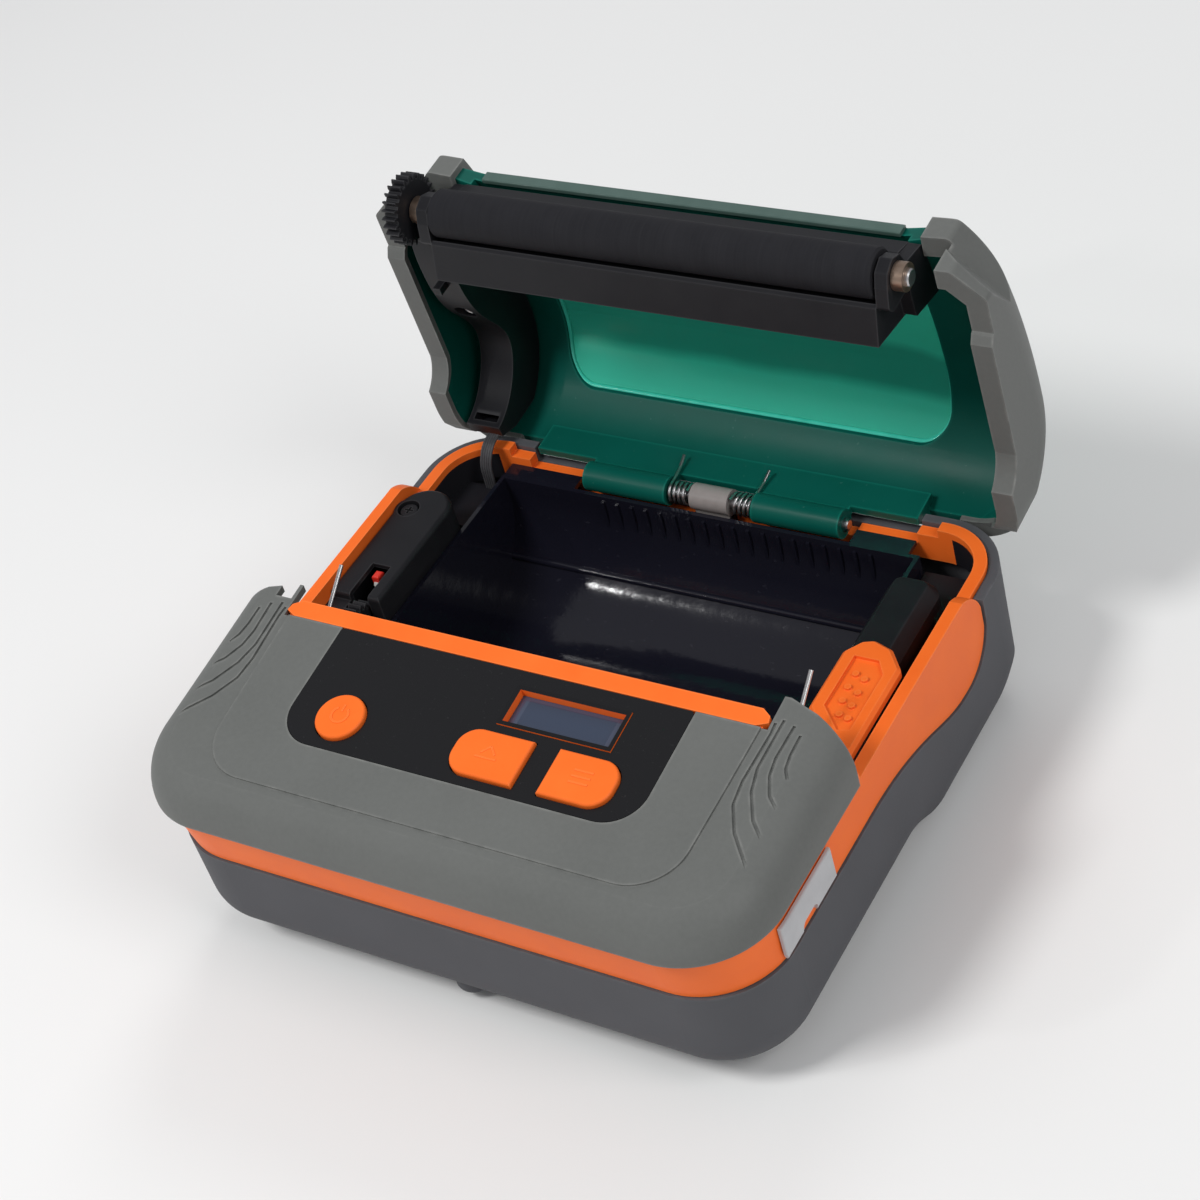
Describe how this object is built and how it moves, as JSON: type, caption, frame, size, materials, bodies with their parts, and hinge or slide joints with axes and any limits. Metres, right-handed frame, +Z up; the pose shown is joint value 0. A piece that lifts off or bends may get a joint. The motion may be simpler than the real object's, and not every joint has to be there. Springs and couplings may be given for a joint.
{
  "type": "portable label printer",
  "caption": "Portable label printer with its lid open, showing the paper bay, platen roller, release lever, control panel and display.",
  "frame": {"origin": "on the table, in the middle of the flat underside of the bulge below the paper bay", "axes": "+X to the printer's right, +Y to its back, +Z up; the lid is open at rest"},
  "size_m": [0.156, 0.1686, 0.1195],
  "materials": {
    "grey_coat": "soft-touch grey coating on plastic",
    "orange_plastic": "satin moulded orange plastic",
    "black_gloss": "glossy black plastic",
    "black_plastic": "fine-grained black plastic",
    "strap": "flat strap of covered wires",
    "display_glass": "dark blue-grey display glass",
    "circuit_board": "green circuit board",
    "steel": "bright steel",
    "ceramic": "glazed ceramic",
    "aluminium": "milled aluminium",
    "brass": "turned brass",
    "white_plastic": "natural white gear plastic",
    "red_plastic": "red plastic",
    "port_rubber": "soft light grey rubber",
    "black_rubber": "ground black rubber",
    "battery_wrap": "wrapped battery pack",
    "knuckle_grey": "grey plastic",
    "green_plastic": "clear dark green plastic",
    "window_plastic": "clear light green plastic",
    "pale_trim": "pale grey-green trim"
  },
  "bodies": {
    "base": {"bottom_shell": "grey_coat", "mid_frame": "orange_plastic", "front_cover": "grey_coat", "control_panel": "black_gloss", "display_bezel": "orange_plastic", "display": "display_glass", "display_carrier": "black_plastic", "button_board": "circuit_board", "tact_switches": "steel", "lever_pin": "steel", "roll_bay": "black_gloss", "gear_cover": "black_plastic", "side_cover": "black_plastic", "gap_sensor": "black_gloss", "tear_bar": "steel", "thermal_head": "ceramic", "heat_sink": "aluminium", "head_bracket": "steel", "head_spring": "steel", "latch_wire_left": "steel", "latch_wire_right": "steel", "motor": "steel", "gear_plate": "steel", "gear_posts": "steel", "main_board": "circuit_board", "usb_socket": "steel", "power_socket": "black_plastic", "battery": "battery_wrap", "front_feet": "black_rubber", "hinge_knuckle": "knuckle_grey", "hinge_pin": "steel", "gear_cover_screw": "steel", "lid_ribbon": "strap", "lid_switch": "black_plastic"},
    "lid": {"lid_shell": "green_plastic", "lid_window": "window_plastic", "lid_bumper_left": "grey_coat", "lid_bumper_right": "grey_coat", "lid_edge_strip": "pale_trim", "platen_holder": "black_plastic", "platen_bushes": "steel", "lid_arm_cover": "black_plastic", "arm_screw": "steel", "lid_spring_left": "steel", "lid_spring_right": "steel"},
    "platen": {"platen_roller": "black_rubber", "platen_shaft": "steel", "platen_gear": "black_plastic"},
    "idler": {"idler_gear": "white_plastic"},
    "output": {"output_gear": "white_plastic"},
    "pinion": {"motor_pinion": "brass"},
    "lever": {"release_lever": "orange_plastic"},
    "power_key": {"power_button": "orange_plastic"},
    "feed_key": {"feed_button": "orange_plastic"},
    "menu_key": {"menu_button": "orange_plastic"},
    "port_flap": {"port_cover": "port_rubber"},
    "battery_flap": {"battery_door": "grey_coat"},
    "switch_pin": {"lid_switch_plunger": "red_plastic"}
  },
  "joints": [
    {"name": "lid_hinge", "type": "hinge", "parent": "base", "child": "lid", "pos_m": [0, 0.0315, 0.0365], "axis": [1, 0, 0], "range_deg": [0, 85], "stiffness_Nm_per_rad": 0.02, "springref_deg": -34.38, "deforming": ["lid_ribbon", "latch_wire_left", "latch_wire_right"]},
    {"name": "platen_spin", "type": "hinge", "parent": "lid", "child": "platen", "pos_m": [0, 0.033, 0.11112], "axis": [1, 0, 0], "continuous": true},
    {"name": "idler_spin", "type": "hinge", "parent": "base", "child": "idler", "pos_m": [-0.069, -0.04199, 0.0258], "axis": [1, 0, 0], "continuous": true},
    {"name": "output_spin", "type": "hinge", "parent": "base", "child": "output", "pos_m": [-0.064, -0.03151, 0.03279], "axis": [1, 0, 0], "continuous": true},
    {"name": "pinion_spin", "type": "hinge", "parent": "base", "child": "pinion", "pos_m": [-0.069, -0.05699, 0.0215], "axis": [1, 0, 0], "continuous": true},
    {"name": "lever_press", "type": "hinge", "parent": "base", "child": "lever", "pos_m": [0.068, -0.0385, 0.0395], "axis": [-1, 0, 0], "range_deg": [0, 3.5], "stiffness_Nm_per_rad": 0.1, "springref_deg": -2.86},
    {"name": "power_press", "type": "slide", "parent": "base", "child": "power_key", "axis": [0, 0.1165, -0.9932], "range_m": [0, 0.0007], "stiffness_N_per_m": 300, "springref_m": -0.0004},
    {"name": "feed_press", "type": "slide", "parent": "base", "child": "feed_key", "axis": [0, 0.1165, -0.9932], "range_m": [0, 0.0007], "stiffness_N_per_m": 300, "springref_m": -0.0004},
    {"name": "menu_press", "type": "slide", "parent": "base", "child": "menu_key", "axis": [0, 0.1165, -0.9932], "range_m": [0, 0.0007], "stiffness_N_per_m": 300, "springref_m": -0.0004},
    {"name": "port_cover_hinge", "type": "hinge", "parent": "base", "child": "port_flap", "pos_m": [0.0766, -0.0743, 0.0341], "axis": [0, 1, 0], "range_deg": [0, 100]},
    {"name": "battery_door_hinge", "type": "hinge", "parent": "base", "child": "battery_flap", "pos_m": [0.008, -0.0494, 0.0064], "axis": [1, 0, 0], "range_deg": [0, 80]},
    {"name": "switch_press", "type": "slide", "parent": "base", "child": "switch_pin", "axis": [0, 0, -1], "range_m": [0, 0.0012], "stiffness_N_per_m": 100, "springref_m": -0.0005}
  ],
  "couplings": [
    {"joint": "output_spin", "follows": "idler_spin", "ratio": -0.5},
    {"joint": "pinion_spin", "follows": "idler_spin", "ratio": -3.3333}
  ]
}
